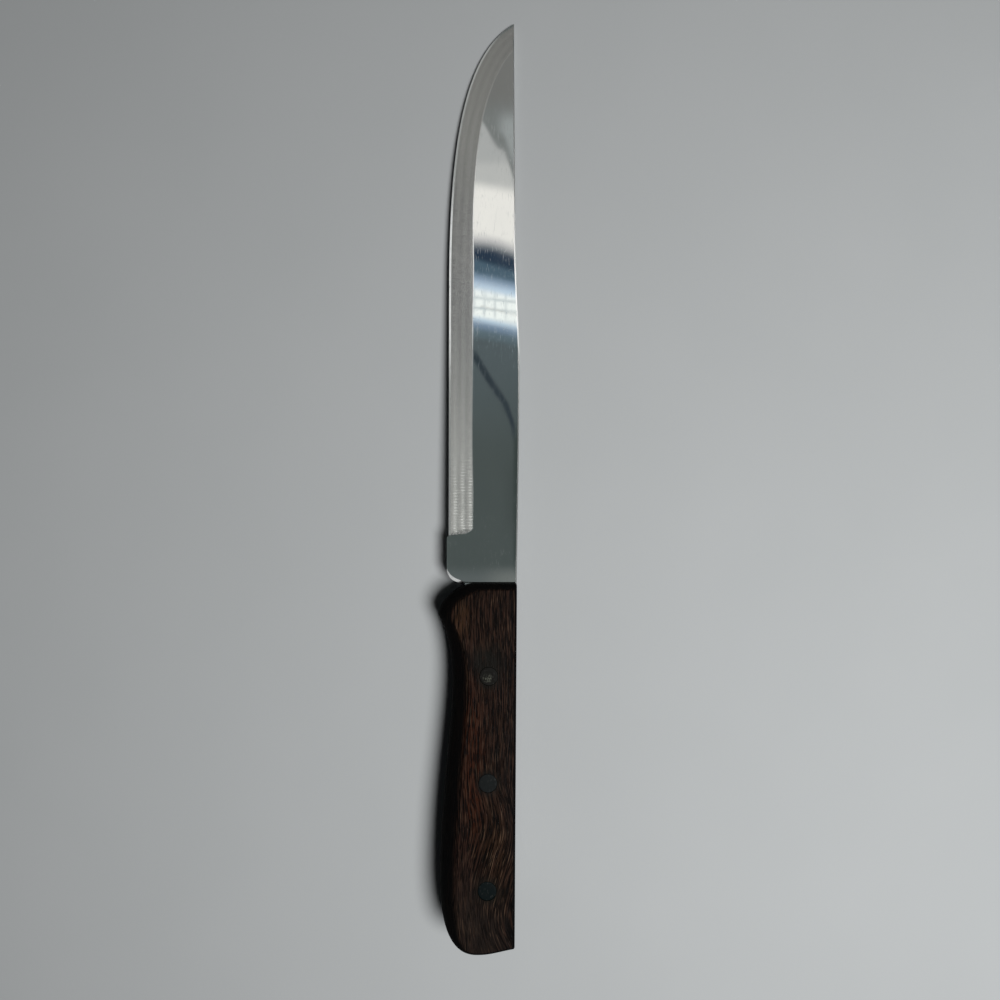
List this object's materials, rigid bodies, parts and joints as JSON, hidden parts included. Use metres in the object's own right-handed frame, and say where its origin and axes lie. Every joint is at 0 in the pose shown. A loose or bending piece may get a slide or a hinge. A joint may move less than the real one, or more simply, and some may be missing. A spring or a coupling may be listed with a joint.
{
  "type": "carving knife",
  "caption": "Kitchen carving knife with a long ground steel blade and a dark contoured wooden handle, slotted for the tang and riveted.",
  "frame": {"origin": "middle of the knife's outline, on the plane of the handle's lower face", "axes": "the knife lies on its side: +Y along the blade towards the point, +X towards the blade's back, +Z out of the upper cheek"},
  "size_m": [0.0286, 0.33, 0.0145],
  "materials": {
    "blade_steel": "polished cheeks, satin ground bevel",
    "handle_wood": "oiled dark wood, worn satin",
    "rivet_metal": "dull, patinated"
  },
  "bodies": {
    "root": {"blade": "blade_steel", "handle": "handle_wood", "front_rivet_post": "rivet_metal", "front_rivet_tube": "rivet_metal", "middle_rivet_post": "rivet_metal", "middle_rivet_tube": "rivet_metal", "rear_rivet_post": "rivet_metal", "rear_rivet_tube": "rivet_metal"}
  },
  "joints": []
}
